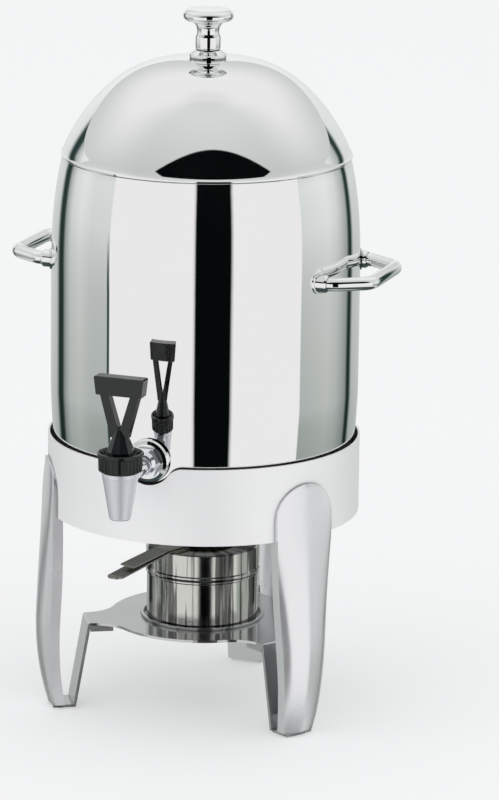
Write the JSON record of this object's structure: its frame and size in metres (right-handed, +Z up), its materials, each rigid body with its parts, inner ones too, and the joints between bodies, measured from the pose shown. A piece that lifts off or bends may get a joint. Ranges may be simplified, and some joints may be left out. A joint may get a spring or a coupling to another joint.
{
  "type": "coffee urn",
  "caption": "Polished steel coffee urn with a domed lift-off lid, side handles and a lever tap, in a banded stand on cast legs over a chafing-fuel burner.",
  "frame": {"origin": "middle of the outer box in plan, on the surface that the legs stand on", "axes": "+Z up, tap towards -Y, side handles on +X and -X"},
  "size_m": [0.3024, 0.3282, 0.5536],
  "materials": {
    "mirror_steel": "mirror-polished stainless steel",
    "plain_steel": "plain brushed stainless steel",
    "cast_metal": "satin cast metal, softly polished",
    "satin_chrome": "brass with satin chrome plating",
    "black_plastic": "black moulded plastic",
    "rubber": "black rubber",
    "burner_steel": "polished stainless sheet",
    "can_tinplate": "plain tinplate"
  },
  "bodies": {
    "stand": {"stand_ring": "mirror_steel", "support_ledge": "plain_steel", "leg_front_left": "cast_metal", "leg_front_right": "cast_metal", "leg_back": "cast_metal", "leg_screws": "plain_steel", "leg_washers": "plain_steel", "burner_platform": "mirror_steel", "platform_screws": "plain_steel", "foot_pads": "rubber"},
    "urn": {"tank_shell": "mirror_steel", "tank_base": "plain_steel", "handle_left": "mirror_steel", "handle_right": "mirror_steel", "handle_ferrules": "mirror_steel", "handle_washers": "mirror_steel", "handle_nuts": "plain_steel", "tap_body": "satin_chrome", "tap_escutcheon": "mirror_steel", "outer_gasket": "rubber", "inner_gasket": "rubber", "shank_nut": "plain_steel", "tap_bonnet": "black_plastic", "lever_pin": "plain_steel", "valve_spring": "plain_steel"},
    "valve": {"valve_stem": "plain_steel", "seat_cup": "rubber"},
    "lever": {"tap_lever": "black_plastic"},
    "lid": {"lid_dome": "mirror_steel", "lid_skirt": "plain_steel", "knob_base": "mirror_steel", "lid_knob": "mirror_steel", "knob_screw": "plain_steel", "knob_washer": "plain_steel"},
    "burner": {"burner_pot": "burner_steel", "fuel_can": "can_tinplate"},
    "cover": {"burner_cover": "burner_steel", "cover_handle": "burner_steel", "handle_rivets": "plain_steel", "damper_pivot": "plain_steel"},
    "damper": {"damper_plate": "burner_steel"}
  },
  "joints": [
    {"name": "urn_lift", "type": "slide", "parent": "stand", "child": "urn", "axis": [0, 0, 1], "range_m": [0, 0.1]},
    {"name": "lid_lift", "type": "slide", "parent": "urn", "child": "lid", "axis": [0, 0, 1], "range_m": [0, 0.1]},
    {"name": "lever_pull", "type": "hinge", "parent": "urn", "child": "lever", "pos_m": [0, -0.1464, 0.248], "axis": [1, 0, 0], "range_deg": [0, 28], "stiffness_Nm_per_rad": 0.4, "springref_deg": -17.19},
    {"name": "valve_lift", "type": "slide", "parent": "urn", "child": "valve", "axis": [0, 0, 1], "range_m": [0, 0.003], "deforming": ["valve_spring"]},
    {"name": "burner_lift", "type": "slide", "parent": "stand", "child": "burner", "axis": [0, 0, 1], "range_m": [0, 0.01]},
    {"name": "cover_lift", "type": "slide", "parent": "burner", "child": "cover", "axis": [0, 0, 1], "range_m": [0, 0.012]},
    {"name": "damper_swing", "type": "hinge", "parent": "cover", "child": "damper", "pos_m": [0.0129, 0.06521, 0.1328], "axis": [0, 0, 1], "range_deg": [0, 40]}
  ],
  "couplings": [
    {"joint": "valve_lift", "follows": "lever_pull", "m_per_rad": 0.0061}
  ]
}
